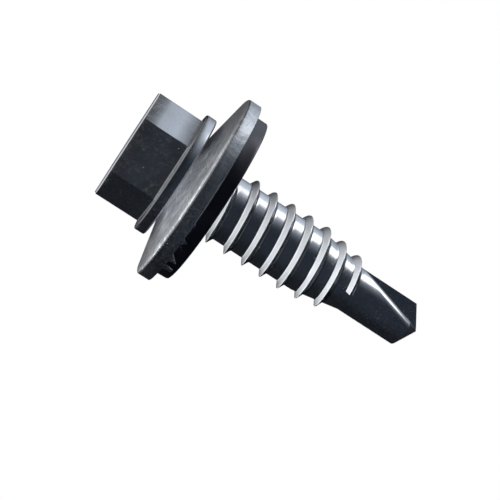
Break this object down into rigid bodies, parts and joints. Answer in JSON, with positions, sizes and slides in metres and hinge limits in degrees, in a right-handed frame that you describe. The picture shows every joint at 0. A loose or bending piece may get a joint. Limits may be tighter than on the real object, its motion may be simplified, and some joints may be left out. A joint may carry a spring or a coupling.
{
  "type": "self-drilling stitching screw",
  "caption": "Hex flange head self-drilling screw with a coarse right-hand thread, a fluted drill point and a captive domed steel washer bonded to a rubber seal.",
  "frame": {"origin": "centre of the flat top face of the hexagon head, which the screw stands on", "axes": "+Z along the screw's axis from the head towards the drill point; one flat of the hexagon faces -Y"},
  "size_m": [0.016, 0.016, 0.0277],
  "materials": {
    "plated_steel": "bright zinc plate, smooth, with fine handling marks",
    "washer_steel": "bright pressed sheet steel with fine circular scratches",
    "black_rubber": "moulded black rubber, low sheen"
  },
  "bodies": {
    "screw": {"screw": "plated_steel"},
    "washer": {"steel_washer": "washer_steel", "rubber_seal": "black_rubber"}
  },
  "joints": [
    {"name": "washer_spin", "type": "hinge", "parent": "screw", "child": "washer", "pos_m": [0, 0, 0.0065], "axis": [0, 0, 1], "continuous": true}
  ]
}
